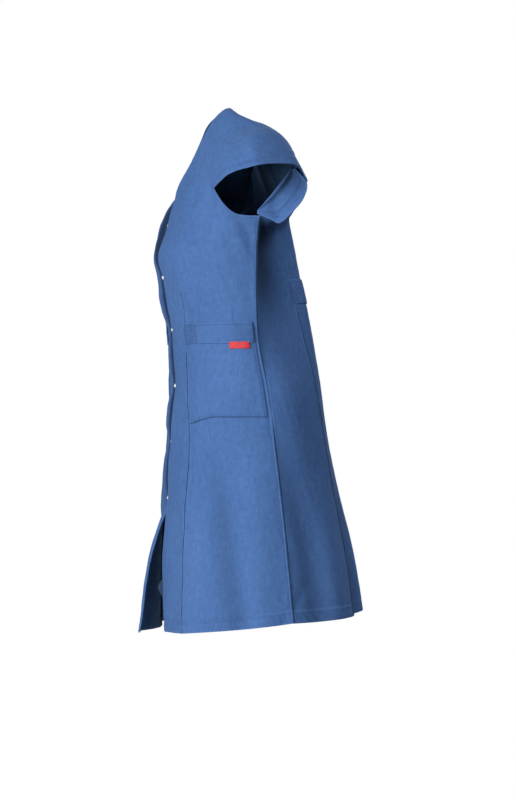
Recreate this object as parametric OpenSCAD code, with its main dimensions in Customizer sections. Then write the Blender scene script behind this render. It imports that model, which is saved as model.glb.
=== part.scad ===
// Coat-style work apron with cap sleeves, a lapped press-stud front, two flap pockets and a half belt.
// Front is -Y, the wearer's left is +X, and z = 0 is the neck-shoulder level.

/* [Cloth] */
// Thickness of one layer of twill, with its seam allowance
cloth_t = 1.5; // [1:0.1:2]
// Clearance between pieces that are sewn or pressed face to face
clear_gap = 0.3; // [0.2:0.05:0.6]

/* [Front opening] */
// Half of the overlap of the two fronts, each side of the centre line
lap_w = 20; // [14:1:24]
// Depth of the lap: how far the right front runs behind the left one
lap_depth = 8; // [7.5:0.5:10]
// How far the right front's free lower corner hangs forward
corner_flare = 64; // [0:1:80]

/* [Press studs] */
// Distance from the centre line to the stud line
stud_x = 15.5; // [12:0.5:17]
// Radius of a stud's flange
stud_r = 7.5; // [5:0.5:8]
// Radius of the post that snaps into the socket
post_r = 2; // [1.5:0.1:2.5]

/* [Pockets] */
// Height of the pocket mouth's seam
pocket_top_z = -464; // [-475:1:-460]
// Height of the pocket's lower seam
pocket_bottom_z = -648; // [-680:1:-620]
// How far the pocket bag stands out at its fullest
pocket_bulge = 12; // [8:1:16]
// Height of the flap's sewn top edge
flap_top_z = -446; // [-450:1:-440]
// Height of the flap's free lower edge
flap_bottom_z = -489; // [-500:1:-480]

/* [Half belt] */
// Height of the half belt's upper edge
belt_top_z = -354; // [-370:1:-340]
// Width of the half belt
belt_w = 50; // [35:1:60]

/* [Hidden] */

twill = [0.25, 0.40, 0.64];
twill_inner = [0.15, 0.27, 0.42];
tape = [0.20, 0.33, 0.54];
steel = [0.78, 0.79, 0.80];
tag_red = [0.80, 0.22, 0.20];

// Body levels: z, front depth, back depth, half width, side seam depth
LEVELS = [
    [-180, -86, 147, 216, 24], [-220, -96, 148, 215, 24], [-262, -108, 148, 214, 23],
    [-305, -122, 157, 211, 23], [-350, -113, 168, 208, 23], [-400, -102, 182, 205, 24],
    [-490, -90, 201, 204, 29], [-590, -87, 218, 218, 43], [-710, -95, 238, 235, 55],
    [-830, -103, 260, 251, 65], [-950, -111, 281, 265, 74], [-1100, -110, 301, 280, 84]];

// Edges of the left half. The key is the angle round the body: 0 centre front, 90 side seam, 180 centre back.
NECK_FRONT = [[-6, [-20, -84, -169]], [0, [0, -80, -148]], [8, [30, -67, -114]],
    [14, [50, -51, -75]], [20, [64, -42, -50]]];
RAGLAN_FRONT = [[20, [64, -42, -50]], [33, [106, -52, -92]], [46, [145, -57, -132]], [57, [178, -56, -174]]];
ARMHOLE_LOW = [[57, [178, -56, -174]], [64, [192, -40, -204]], [74, [206, -20, -225]],
    [82, [214, 0, -230]], [90, [222, 25, -231]], [96, [225, 38, -231]], [103, [230, 64, -247]],
    [109, [233, 80, -228]], [119, [238, 112, -198]], [128, [234, 128, -160]]];
RAGLAN_BACK = [[128, [234, 128, -160]], [136, [212, 112, -116]], [144, [176, 102, -76]],
    [154, [118, 73, -46]], [162, [72, 36, -28]]];
NECK_BACK = [[162, [72, 36, -28]], [171, [38, 48, -40]], [180, [0, 52, -44]]];

// Cap sleeve: the neck edge and the outer rim, front (0) to back (1), and its two raglan seams, neck (0) to rim (1)
SLEEVE_NECK = [[0, [64, -42, -50]], [0.25, [76, -29, -24]], [0.5, [83, -8, -3]],
    [0.65, [84, 6, 0]], [0.82, [82, 18, -14]], [1, [72, 36, -28]]];
SLEEVE_RIM = [[0, [178, -56, -174]], [0.13, [228, -54, -160]], [0.26, [268, -40, -148]],
    [0.45, [293, 0, -136]], [0.6, [287, 32, -130]], [0.78, [266, 78, -128]],
    [0.9, [242, 110, -134]], [1, [234, 128, -160]]];
// The right sleeve hangs down over its armhole
HANGING_RIM = [[0,[178,-56,-174]],[0.13,[208,-50,-198]],[0.26,[232,-30,-222]],[0.45,[250,4,-238]],
    [0.6,[256,38,-236]],[0.78,[256,80,-216]],[0.9,[250,108,-186]],[1,[234,128,-160]]];
SLEEVE_FRONT = [[0, [64, -42, -50]], [0.34, [106, -52, -92]], [0.68, [145, -57, -132]], [1, [178, -56, -174]]];
SLEEVE_BACK = [[0, [72, 36, -28]], [0.28, [118, 73, -46]], [0.62, [176, 102, -76]],
    [0.85, [212, 112, -116]], [1, [234, 128, -160]]];

// Angles that bound the panels
edge_a = -asin(lap_w / 213);        // free edge of a front
split_a = 8.6;                      // where the placket starts to fold
split_gap_a = 0.55;                 // slit beside the fold line
side_a = 90;                        // side seam
back_seam_a = 138;                  // back seam that holds the half belt
STUD_Z = [-240, -349, -458, -575, -692, -810];
last_stud_z = -815;                 // below this the right front hangs free
hem_front_z = -1091;
hem_side_z = -1056;
hem_back_z = -1047;
far_lean = 27;                      // the right shoulder sits this much further back

// ---- curves ----
function ease(a, b, x) = let (t = max(0, min(1, (x - a) / (b - a)))) t * t * (3 - 2 * t);
function row_of(keys, x, i = 0) = i >= len(keys) - 2 || x < keys[i + 1] ? i : row_of(keys, x, i + 1);
function slope_at(keys, vals, i) = let (a = max(i - 1, 0), b = min(i + 1, len(keys) - 1))
    (vals[b] - vals[a]) / (keys[b] - keys[a]);
function cubic(p, q, mp, mq, t) = (2 * pow(t, 3) - 3 * t * t + 1) * p + (pow(t, 3) - 2 * t * t + t) * mp
    + (3 * t * t - 2 * pow(t, 3)) * q + (pow(t, 3) - t * t) * mq;
function through(keys, vals, x0) = let (
    x = max(keys[0], min(keys[len(keys) - 1], x0)), i = row_of(keys, x), h = keys[i + 1] - keys[i])
    cubic(vals[i], vals[i + 1], h * slope_at(keys, vals, i), h * slope_at(keys, vals, i + 1), (x - keys[i]) / h);
function along(rows, x) = through([for (r = rows) r[0]], [for (r = rows) r[1]], x);

LEVEL_KEYS = [for (r = LEVELS) -r[0]];
LEVEL_VALUES = [for (r = LEVELS) [r[1], r[2], r[3], r[4]]];

// ---- body surface of the left half ----
function section(z, a) = let (s = through(LEVEL_KEYS, LEVEL_VALUES, -z))
    [s[2] * sin(a), s[3] - (cos(a) >= 0 ? s[3] - s[0] : s[1] - s[3]) * cos(a), z];
function top_edge(a) = a <= 20 ? along(NECK_FRONT, a) : a <= 57 ? along(RAGLAN_FRONT, a)
    : a <= 128 ? along(ARMHOLE_LOW, a) : a <= 162 ? along(RAGLAN_BACK, a) : along(NECK_BACK, a);
function join_z(a) = -262 - 40 * ease(35, 75, a);
function hem_z(a) = a < 20 ? hem_front_z + 5 * (a + 6) / 26
    : a < 90 ? hem_front_z + 5 + (hem_side_z - hem_front_z - 5) * (a - 20) / 70
    : hem_side_z + (hem_back_z - hem_side_z) * (a - 90) / 90;
// v runs 0 at the top edge, 1 at the join level, 2 at the hem
function body(a, v) = v >= 1 ? section(join_z(a) + (hem_z(a) - join_z(a)) * (v - 1), a)
    : let (z = join_z(a), p = top_edge(a), q = section(z, a),
        mq = (section(z - 2, a) - section(z + 2, a)) / 4 * (p[2] - z)) cubic(p, q, 2 * (q - p) - mq, mq, v);
function unit(p) = p / max(norm(p), 0.0001);
function body_normal(a, v) = let (v0 = max(v - 0.02, 0), v1 = min(v + 0.02, 2))
    unit(cross(body(a, v1) - body(a, v0), body(a + 1, v) - body(a - 1, v)));
function v_of(a, z) = z > join_z(a) ? let (p = top_edge(a)) max(0, (p[2] - z) / (p[2] - join_z(a)))
    : 1 + (z - join_z(a)) / (hem_z(a) - join_z(a));
function princess_a(v) = v <= 1 ? 21.5 : let (z = -262 - 824 * (v - 1)) z > -590 ? 21.5 - 5.5 * ease(-340, -590, z)
    : 16 + 4.5 * ease(-590, -740, z);
function off(a, v, d) = body(a, v) + body_normal(a, v) * d;

// ---- the two halves ----
// The right half is the left one mirrored, with its shoulder a little further back
function right(p) = [-p[0], p[1] + far_lean * ease(0, 60, p[0]) * ease(-260, -150, p[2]), p[2]];
function lap_in(a) = -lap_depth * (1 - ease(8, 15.9, a));
// The right front's free corner hangs forward below the last stud
function flare(p, a) = let (w = 1 - ease(edge_a, 20.4, a), drop = max(0, last_stud_z - p[2]))
    [p[0] + 59 * w * ease(0, 26, drop) - 14 * w * ease(90, 270, drop),
     p[1] - corner_flare * w * pow(max(0, drop - 26) / 250, 0.8), p[2]];
function right_front(a, v, d) = right(flare(off(a, v, d + lap_in(a)), a));

// ---- sleeve surface of the left half ----
function sleeve(s, t, rim) = let (c00 = SLEEVE_NECK[0][1], c10 = SLEEVE_NECK[5][1], c01 = rim[0][1],
    c11 = rim[7][1]) (1 - t) * along(SLEEVE_NECK, s) + t * along(rim, s)
    + (1 - s) * along(SLEEVE_FRONT, t) + s * along(SLEEVE_BACK, t)
    - (1 - s) * (1 - t) * c00 - s * (1 - t) * c10 - (1 - s) * t * c01 - s * t * c11;
function sleeve_off(s, t, d, rim) = let (e = 0.03,
    ds = sleeve(min(s + e, 1), t, rim) - sleeve(max(s - e, 0), t, rim),
    dt = sleeve(s, min(t + e, 1), rim) - sleeve(s, max(t - e, 0), rim))
    sleeve(s, t, rim) + unit(cross(dt, ds)) * d;

// ---- solids ----
function steps(a, b, n) = [for (i = [0 : n]) a + (b - a) * i / n];
// A closed shell between two grids of points of the same size, outer and inner, each a list of rows
module shell(outer, inner, flip = false) {
    n = len(outer);
    m = len(outer[0]);
    points = [for (r = outer) each r, for (r = inner) each r];
    function o(i, j) = i * m + j;
    function q(i, j) = n * m + i * m + j;
    faces = [
        for (i = [0 : n - 2], j = [0 : m - 2]) each [
            [o(i, j), o(i + 1, j), o(i + 1, j + 1)], [o(i, j), o(i + 1, j + 1), o(i, j + 1)],
            [q(i, j), q(i + 1, j + 1), q(i + 1, j)], [q(i, j), q(i, j + 1), q(i + 1, j + 1)]],
        for (i = [0 : n - 2]) each [
            [o(i, 0), q(i, 0), q(i + 1, 0)], [o(i, 0), q(i + 1, 0), o(i + 1, 0)],
            [o(i, m - 1), q(i + 1, m - 1), q(i, m - 1)], [o(i, m - 1), o(i + 1, m - 1), q(i + 1, m - 1)]],
        for (j = [0 : m - 2]) each [
            [o(0, j), q(0, j + 1), q(0, j)], [o(0, j), o(0, j + 1), q(0, j + 1)],
            [o(n - 1, j), q(n - 1, j), q(n - 1, j + 1)], [o(n - 1, j), q(n - 1, j + 1), o(n - 1, j + 1)]]];
    polyhedron(points, flip ? [for (f = faces) [f[0], f[2], f[1]]] : faces);
}
ROWS = concat(steps(0, 1, 8), steps(1.035, 2, 26));
// A body panel of the left half between two angles, which may vary with v
module left_panel(a0, a1, n, rows = ROWS, d_out = 0, d_in = -cloth_t) {
    outer = [for (v = rows) [for (k = steps(0, 1, n)) off(a0(v) + (a1(v) - a0(v)) * k, v, d_out)]];
    inner = [for (v = rows) [for (k = steps(0, 1, n)) off(a0(v) + (a1(v) - a0(v)) * k, v, d_in)]];
    shell(outer, inner);
}
module right_panel(a0, a1, n, rows = ROWS, d_out = 0, d_in = -cloth_t) {
    outer = [for (v = rows) [for (k = steps(0, 1, n)) right(off(a0(v) + (a1(v) - a0(v)) * k, v, d_out))]];
    inner = [for (v = rows) [for (k = steps(0, 1, n)) right(off(a0(v) + (a1(v) - a0(v)) * k, v, d_in))]];
    shell(outer, inner, flip = true);
}
at = function (a) function (v) a;
princess = function (v) princess_a(v);

module left_front_placket() color(twill) left_panel(at(edge_a), at(split_a - split_gap_a), 2);
module left_front_fly() color(twill_inner)
    left_panel(at(edge_a + 0.3), at(split_a - split_gap_a - 0.5), 2, [for (v = ROWS) if (v > 0.1) v],
        d_out = -cloth_t - clear_gap, d_in = -cloth_t - clear_gap - 1);
module left_front_panel() color(twill) left_panel(at(split_a), princess, 2);
module left_side_front_panel() color(twill) left_panel(princess, at(side_a), 12);
module left_side_back_panel() color(twill) left_panel(at(side_a), at(back_seam_a), 7);
module right_side_back_panel() color(twill) right_panel(at(side_a), at(back_seam_a), 7);
module right_side_front_panel() color(twill) right_panel(princess, at(side_a), 12);

BACK_A = steps(back_seam_a, 180, 7);
module back_panel() {
    function row(v, d) = concat([for (a = BACK_A) off(a, v, d)],
        [for (i = [len(BACK_A) - 2 : -1 : 0]) right(off(BACK_A[i], v, d))]);
    color(twill) shell([for (v = ROWS) row(v, 0)], [for (v = ROWS) row(v, -cloth_t)]);
}
function right_front_a(k, v) = edge_a - 1 + (princess_a(v) - edge_a + 1) * k;
module right_front_panel() {
    function row(v, d) = [for (k = steps(0, 1, 7)) right_front(right_front_a(k, v), v, d)];
    color(twill) shell([for (v = ROWS) row(v, 0)], [for (v = ROWS) row(v, -cloth_t)], flip = true);
}
module right_front_facing() {
    function row(v, d) = [for (k = steps(0, 4 / 7, 4)) right_front(right_front_a(k, v), v, d)];
    rows = [for (v = ROWS) if (v > 0.1 && v < 1.99) v];
    d = cloth_t + clear_gap;
    color(twill_inner) shell([for (v = rows) row(v, -d)], [for (v = rows) row(v, -d - 1)], flip = true);
}

// ---- sleeves and facings ----
function sleeve_grid(s, t, d, rim = SLEEVE_RIM) = [for (tt = t) [for (ss = s) sleeve_off(ss, tt, d, rim)]];
function right_sleeve_grid(s, t, d) = mirrored(sleeve_grid([for (x = s) min(x, 0.976)], t, d, HANGING_RIM));
function mirrored(grid) = [for (r = grid) [for (p = r) right(p)]];
sleeve_s = steps(0.012, 0.988, 14);
sleeve_t = steps(0, 1, 8);
module left_cap_sleeve() color(twill)
    shell(sleeve_grid(sleeve_s, sleeve_t, 0), sleeve_grid(sleeve_s, sleeve_t, -cloth_t));
module right_cap_sleeve() color(twill)
    shell(right_sleeve_grid(sleeve_s, sleeve_t, 0), right_sleeve_grid(sleeve_s, sleeve_t, -cloth_t), flip = true);
// The hem turned inside the sleeve's rim
facing_s = [for (i = [1 : len(sleeve_s) - 2]) sleeve_s[i]];
facing_t = [sleeve_t[7], sleeve_t[8]];
facing_d = -cloth_t - clear_gap;
module left_sleeve_facing() color(twill_inner)
    shell(sleeve_grid(facing_s, facing_t, facing_d), sleeve_grid(facing_s, facing_t, facing_d - 1));
module right_sleeve_facing() color(twill_inner)
    shell(right_sleeve_grid(facing_s, facing_t, facing_d), right_sleeve_grid(facing_s, facing_t, facing_d - 1),
        flip = true);
module back_neck_facing() {
    angles = [for (a = BACK_A) if (a > 163) a];
    d = -cloth_t - clear_gap;
    function row(v, d) = concat([for (a = angles) off(a, v, d)],
        [for (i = [len(angles) - 2 : -1 : 0]) right(off(angles[i], v, d))]);
    rows = [ROWS[0], ROWS[1], ROWS[2]];
    color(twill_inner) shell([for (v = rows) row(v, d)], [for (v = rows) row(v, d - 1)]);
}

// ---- half belt ----
module half_belt() {
    belt_rows = steps(belt_top_z, belt_top_z - belt_w, 3);
    function row(z, d) = concat([for (a = BACK_A) off(a, v_of(a, z), d)],
        [for (i = [len(BACK_A) - 2 : -1 : 0]) right(off(BACK_A[i], v_of(BACK_A[i], z), d))]);
    d = clear_gap + 0.3;
    color(twill) shell([for (z = belt_rows) row(z, d + 2)], [for (z = belt_rows) row(z, d)]);
}

// ---- pockets ----
pad_rows = [flap_bottom_z + 18, flap_bottom_z + 6];
pocket_a0 = 19;
pocket_a1 = 88.5;
function bag(a, z) = let (k = (a - pocket_a0) / (pocket_a1 - pocket_a0))
    clear_gap + pocket_bulge * pow(max(0, sin(180 * k)), 0.6) * ease(pocket_bottom_z, pocket_bottom_z + 16, z)
    * (0.45 + 0.55 * ease(0, 60, pocket_top_z - z));
pocket_angles = steps(pocket_a0, pocket_a1, 14);
pocket_rows = concat([pocket_top_z], pad_rows, steps(flap_bottom_z - 11, pocket_bottom_z + 18, 5),
    [pocket_bottom_z + 8, pocket_bottom_z]);
function pocket_grid(d) = [for (z = pocket_rows) [for (a = pocket_angles) off(a, v_of(a, z), bag(a, z) + d)]];
module left_pocket() color(twill) shell(pocket_grid(cloth_t), pocket_grid(0));
module right_pocket() color(twill) shell(mirrored(pocket_grid(cloth_t)), mirrored(pocket_grid(0)), flip = true);

// ---- pocket flaps, which lift about a straight line along their sewn edge ----
flap_rows = [flap_top_z, flap_top_z - 5, flap_top_z - 11, flap_bottom_z + 14, flap_bottom_z];
function flap_d(a, z) = clear_gap + 0.7 + (bag(a, pocket_top_z) + cloth_t + 3.4)
    * ease(flap_top_z, flap_top_z - 10, z);
function flap_grid(d) = [for (z = flap_rows) [for (a = pocket_angles) off(a, v_of(a, z), flap_d(a, z) + d)]];
module left_pocket_flap() color(twill) shell(flap_grid(2), flap_grid(0));
module right_pocket_flap() color(twill) shell(mirrored(flap_grid(2)), mirrored(flap_grid(0)), flip = true);

// Hook-and-loop pads: a hook pad under each end of the flap and its loop pad on the pocket
PAD_A = [34, 70];
pad_half_a = 4.5;
function pad_grid(c, d0) = [for (z = pad_rows) [for (a = steps(c - pad_half_a, c + pad_half_a, 3)) off(a, v_of(a, z), d0(a, z))]];
hook_d = function (t) function (a, z) flap_d(a, z) - 0.4 - t;
loop_d = function (t) function (a, z) bag(a, z) + cloth_t + 0.4 + t;
pad_t = 0.7;
module left_flap_hook_pads() color(tape) for (c = PAD_A) shell(pad_grid(c, hook_d(0)), pad_grid(c, hook_d(pad_t)));
module right_flap_hook_pads() color(tape) for (c = PAD_A)
    shell(mirrored(pad_grid(c, hook_d(0))), mirrored(pad_grid(c, hook_d(pad_t))), flip = true);
module left_pocket_loop_pads() color(tape) for (c = PAD_A) shell(pad_grid(c, loop_d(pad_t)), pad_grid(c, loop_d(0)));
module right_pocket_loop_pads() color(tape) for (c = PAD_A)
    shell(mirrored(pad_grid(c, loop_d(pad_t))), mirrored(pad_grid(c, loop_d(0))), flip = true);

// The small plain tag that hangs below the left flap's edge
module pocket_tag() {
    angles = steps(60.5, 81.5, 4);
    rows = [flap_bottom_z - 0.5, flap_bottom_z - 14.5];
    function grid(d) = [for (z = rows) [for (a = angles) off(a, v_of(a, z), bag(a, z) + cloth_t + d)]];
    color(tag_red) shell(grid(1.9), grid(0.9));
}

// ---- press studs ----
stud_a = -asin(stud_x / 213);
module at_studs() for (z = STUD_Z) {
    v = v_of(stud_a, z);
    tilt = body_normal(stud_a, v);
    translate(body(stud_a, v)) rotate([0, 0, atan2(tilt[1], tilt[0])]) rotate([0, acos(tilt[2]), 0]) children();
}
// Measured inwards from the left front's outer face
socket_out = cloth_t + clear_gap + 1 + 0.5;
socket_t = 1.8;
flange_t = 0.7;
module disc(depth, t, r) translate([0, 0, -depth - t]) cylinder(h = t, r = r, $fn = 40);
module press_stud_sockets() color(steel) at_studs() difference() {
    disc(socket_out, socket_t, stud_r - 1);
    disc(socket_out - 1, socket_t + 2, post_r + 1.1);
}
module press_stud_posts() color(steel) at_studs() {
    disc(lap_depth - flange_t - 0.5, flange_t, stud_r);
    disc(socket_out + 0.5, lap_depth - flange_t - 0.5 - socket_out - 0.5, post_r);
}
module press_stud_backs() color(steel) at_studs()
    disc(lap_depth + cloth_t + clear_gap + 1 + 1, 0.8, stud_r - 1.5);

// ---- inside the neck ----
loop_r = 24;
loop_y = 40;
loop_z = -56;
module hanger_loop() color(tape) translate([0, loop_y, loop_z]) rotate([90, 0, 0]) rotate([0, 0, 180])
    translate([0, 0, -0.8]) rotate_extrude(angle = 180, $fn = 64) translate([loop_r - 3, 0]) square([6, 1.6]);
module hanger_loop_tacks() color(tape) for (x = [-loop_r, loop_r])
    translate([x - 3.5, loop_y + 1.2, loop_z - 1]) cube([7, 2.8, 7]);
module care_label() color([0.92, 0.92, 0.90]) translate([-15, 46.6, -92]) cube([30, 0.8, 34]);

left_front_placket();
left_front_fly();
left_front_panel();
left_side_front_panel();
left_side_back_panel();
back_panel();
right_side_back_panel();
right_side_front_panel();
right_front_panel();
right_front_facing();
left_cap_sleeve();
right_cap_sleeve();
left_sleeve_facing();
right_sleeve_facing();
back_neck_facing();
half_belt();
left_pocket();
right_pocket();
left_pocket_flap();
right_pocket_flap();
left_flap_hook_pads();
right_flap_hook_pads();
left_pocket_loop_pads();
right_pocket_loop_pads();
pocket_tag();
press_stud_posts();
press_stud_backs();
press_stud_sockets();
hanger_loop();
hanger_loop_tacks();
care_label();
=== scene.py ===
"""Cloth, seams, stitching, studs, light and camera for the coat-style apron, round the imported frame.

The pattern tables and the functions on them are in millimetres, the same as in the CAD source:
front is -Y, the wearer's left is +X and z = 0 is the neck-shoulder level. MM turns them into metres.
The key of the body surface is the angle round it: 0 centre front, 90 side seam, 180 centre back.
"""
import math

import bpy
import numpy as np
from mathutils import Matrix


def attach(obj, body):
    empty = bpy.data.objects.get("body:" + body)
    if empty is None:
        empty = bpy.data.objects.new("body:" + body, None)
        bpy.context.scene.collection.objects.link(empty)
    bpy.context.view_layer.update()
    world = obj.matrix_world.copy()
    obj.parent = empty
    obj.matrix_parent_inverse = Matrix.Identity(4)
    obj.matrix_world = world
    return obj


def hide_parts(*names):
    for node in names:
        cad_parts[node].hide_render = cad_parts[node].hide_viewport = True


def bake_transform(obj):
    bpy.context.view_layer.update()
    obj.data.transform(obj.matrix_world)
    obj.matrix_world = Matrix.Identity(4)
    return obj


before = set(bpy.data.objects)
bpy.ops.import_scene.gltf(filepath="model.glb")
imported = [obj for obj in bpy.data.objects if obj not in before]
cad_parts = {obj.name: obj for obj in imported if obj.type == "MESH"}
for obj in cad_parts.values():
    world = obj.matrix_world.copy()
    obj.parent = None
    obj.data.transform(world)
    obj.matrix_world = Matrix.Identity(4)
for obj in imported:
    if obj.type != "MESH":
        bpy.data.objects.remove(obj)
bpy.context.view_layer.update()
MM = 0.001

# ---------------------------------------------------------------- pattern, as in the CAD source
LEVELS = [  # z, front depth, back depth, half width, side seam depth
    (-180, -86, 147, 216, 24), (-220, -96, 148, 215, 24), (-262, -108, 148, 214, 23),
    (-305, -122, 157, 211, 23), (-350, -113, 168, 208, 23), (-400, -102, 182, 205, 24),
    (-490, -90, 201, 204, 29), (-590, -87, 218, 218, 43), (-710, -95, 238, 235, 55),
    (-830, -103, 260, 251, 65), (-950, -111, 281, 265, 74), (-1100, -110, 301, 280, 84)]
NECK_FRONT = [(-6, -20, -84, -169), (0, 0, -80, -148), (8, 30, -67, -114), (14, 50, -51, -75),
              (20, 64, -42, -50)]
RAGLAN_FRONT = [(20, 64, -42, -50), (33, 106, -52, -92), (46, 145, -57, -132), (57, 178, -56, -174)]
ARMHOLE_LOW = [(57, 178, -56, -174), (64, 192, -40, -204), (74, 206, -20, -225), (82, 214, 0, -230),
               (90, 222, 25, -231), (96, 225, 38, -231), (103, 230, 64, -247), (109, 233, 80, -228),
               (119, 238, 112, -198), (128, 234, 128, -160)]
RAGLAN_BACK = [(128, 234, 128, -160), (136, 212, 112, -116), (144, 176, 102, -76),
               (154, 118, 73, -46), (162, 72, 36, -28)]
NECK_BACK = [(162, 72, 36, -28), (171, 38, 48, -40), (180, 0, 52, -44)]
SLEEVE_NECK = [(0, 64, -42, -50), (0.25, 76, -29, -24), (0.5, 83, -8, -3), (0.65, 84, 6, 0),
               (0.82, 82, 18, -14), (1, 72, 36, -28)]
SLEEVE_RIM = [(0, 178, -56, -174), (0.13, 228, -54, -160), (0.26, 268, -40, -148),
              (0.45, 293, 0, -136), (0.6, 287, 32, -130), (0.78, 266, 78, -128),
              (0.9, 242, 110, -134), (1, 234, 128, -160)]
HANGING_RIM = [(0, 178, -56, -174), (0.13, 208, -50, -206), (0.26, 232, -30, -238), (0.45, 250, 4, -258),
               (0.6, 256, 38, -260), (0.78, 258, 82, -246), (0.9, 252, 112, -212), (1, 234, 128, -160)]
SLEEVE_FRONT = [(0, 64, -42, -50), (0.34, 106, -52, -92), (0.68, 145, -57, -132), (1, 178, -56, -174)]
SLEEVE_BACK = [(0, 72, 36, -28), (0.28, 118, 73, -46), (0.62, 176, 102, -76),
               (0.85, 212, 112, -116), (1, 234, 128, -160)]
LAP_W, LAP_DEPTH, CORNER_FLARE, LAST_STUD_Z = 20, 8, 64, -815
STUD_X, STUD_Z = 15.5, (-240, -349, -458, -575, -692, -810)
EDGE_A = -math.degrees(math.asin(LAP_W / 213))
SIDE_A, BACK_SEAM_A = 90, 138
POCKET_A0, POCKET_A1, POCKET_TOP_Z = 19, 88.5, -464
FLAP_TOP_Z, FLAP_BOTTOM_Z = -446, -489
BELT_TOP_Z, BELT_W = -354, 50
CLOTH_T = 1.0
FAR_LEAN = 27


# ---------------------------------------------------------------- curves
def ease(a, b, x):
    t = np.clip((np.asarray(x, float) - a) / (b - a), 0, 1)
    return t * t * (3 - 2 * t)


def bump(x, centre, width):
    return np.exp(-(((np.asarray(x, float) - centre) / width) ** 2))


def through(rows, x):
    """A smooth curve through rows of (key, values...), read at x."""
    rows = np.asarray(rows, float)
    keys, vals = rows[:, 0], rows[:, 1:]
    n = len(keys)
    x = np.clip(np.asarray(x, float), keys[0], keys[-1])
    lo, hi = np.maximum(np.arange(n) - 1, 0), np.minimum(np.arange(n) + 1, n - 1)
    slope = (vals[hi] - vals[lo]) / (keys[hi] - keys[lo])[:, None]
    i = np.clip(np.searchsorted(keys, x, side="right") - 1, 0, n - 2)
    h = (keys[i + 1] - keys[i])[..., None]
    t = (x - keys[i])[..., None] / h
    return ((2 * t**3 - 3 * t**2 + 1) * vals[i] + (t**3 - 2 * t**2 + t) * h * slope[i]
            + (3 * t**2 - 2 * t**3) * vals[i + 1] + (t**3 - t**2) * h * slope[i + 1])


LEVELS_DOWN = [(-r[0],) + r[1:] for r in LEVELS]


def section(z, a):
    """The body's level curve: a point at height z and angle a."""
    z, a = np.broadcast_arrays(np.asarray(z, float), np.asarray(a, float))
    front, back, half, side = np.moveaxis(through(LEVELS_DOWN, -z), -1, 0)
    c = np.cos(np.radians(a))
    y = side - np.where(c >= 0, side - front, back - side) * c
    return np.stack([half * np.sin(np.radians(a)), y, z], -1)


def top_edge(a):
    a = np.clip(np.asarray(a, float), -6, 180)
    out = np.zeros(a.shape + (3,))
    for rows in (NECK_FRONT, RAGLAN_FRONT, ARMHOLE_LOW, RAGLAN_BACK, NECK_BACK):
        here = (a >= rows[0][0]) & (a <= rows[-1][0])
        out[here] = through(rows, a[here])
    return out


def join_z(a):
    return -262 - 40 * ease(35, 75, a)


def hem_z(a):
    return np.interp(a, [-6, 20, 90, 180], [-1091, -1086, -1056, -1047])


def body(a, v):
    """The left half's surface: v is 0 at the top edge, 1 where the straight body starts, 2 at the hem."""
    a, v = np.broadcast_arrays(np.asarray(a, float), np.asarray(v, float))
    zj, top = join_z(a), top_edge(a)
    join = section(zj, a)
    end = (section(zj - 2, a) - section(zj + 2, a)) / 4 * (top[..., 2] - zj)[..., None]
    start = 2 * (join - top) - end
    t = np.clip(v, 0, 1)[..., None]
    upper = ((2 * t**3 - 3 * t**2 + 1) * top + (t**3 - 2 * t**2 + t) * start
             + (3 * t**2 - 2 * t**3) * join + (t**3 - t**2) * end)
    lower = section(zj + (hem_z(a) - zj) * np.clip(v - 1, 0, 1), a)
    return np.where((v <= 1)[..., None], upper, lower)


def unit(p):
    return p / np.maximum(np.linalg.norm(p, axis=-1, keepdims=True), 1e-9)


def body_normal(a, v):
    v0, v1 = np.maximum(v - 0.02, 0), np.minimum(v + 0.02, 2)
    return unit(np.cross(body(a, v1) - body(a, v0),
                         body(np.minimum(a + 1, 180), v) - body(np.maximum(a - 1, -6), v)))


def v_of(a, z):
    zj, top = join_z(a), top_edge(a)[..., 2]
    return np.where(z > zj, np.maximum(0, (top - z) / (top - zj)), 1 + (z - zj) / (hem_z(a) - zj))


def princess_a(v):
    z = -262 - 824 * (np.asarray(v, float) - 1)
    below = np.where(z > -590, 21.5 - 5.5 * ease(-340, -590, z), 16 + 4.5 * ease(-590, -740, z))
    return np.where(np.asarray(v) <= 1, 21.5, below)


def sleeve(s, t, rim):
    """The cap sleeve's surface: s from front to back, t from neck to rim."""
    s, t = np.broadcast_arrays(np.asarray(s, float), np.asarray(t, float))
    s3, t3 = s[..., None], t[..., None]
    c00, c10, c01, c11 = (np.array(r[1:], float) for r in
                          (SLEEVE_NECK[0], SLEEVE_NECK[-1], rim[0], rim[-1]))
    return ((1 - t3) * through(SLEEVE_NECK, s) + t3 * through(rim, s)
            + (1 - s3) * through(SLEEVE_FRONT, t) + s3 * through(SLEEVE_BACK, t)
            - (1 - s3) * (1 - t3) * c00 - s3 * (1 - t3) * c10 - (1 - s3) * t3 * c01 - s3 * t3 * c11)


def sleeve_normal(s, t, rim):
    e = 0.03
    ds = sleeve(np.minimum(s + e, 1), t, rim) - sleeve(np.maximum(s - e, 0), t, rim)
    dt = sleeve(s, np.minimum(t + e, 1), rim) - sleeve(s, np.maximum(t - e, 0), rim)
    return unit(np.cross(dt, ds))


def mirror(p):
    """The left half's point on the right half, whose shoulder sits a little further back."""
    q = np.array(p, float)
    lean = FAR_LEAN * ease(0, 60, q[..., 0]) * ease(-260, -150, q[..., 2])
    q[..., 0] *= -1
    q[..., 1] += lean
    return q


def lap_in(a):
    return -LAP_DEPTH * (1 - ease(8, 15.9, a))


def flare(p, a):
    """The right front's free corner hangs forward below the last stud."""
    w = 1 - ease(EDGE_A, 20.4, a)
    drop = np.maximum(0, LAST_STUD_Z - p[..., 2])
    q = np.array(p, float)
    q[..., 0] += 59 * w * ease(0, 26, drop) - 14 * w * ease(90, 270, drop)
    q[..., 1] -= CORNER_FLARE * w * (np.maximum(0, drop - 6) / 270) ** 0.8
    return q


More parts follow.
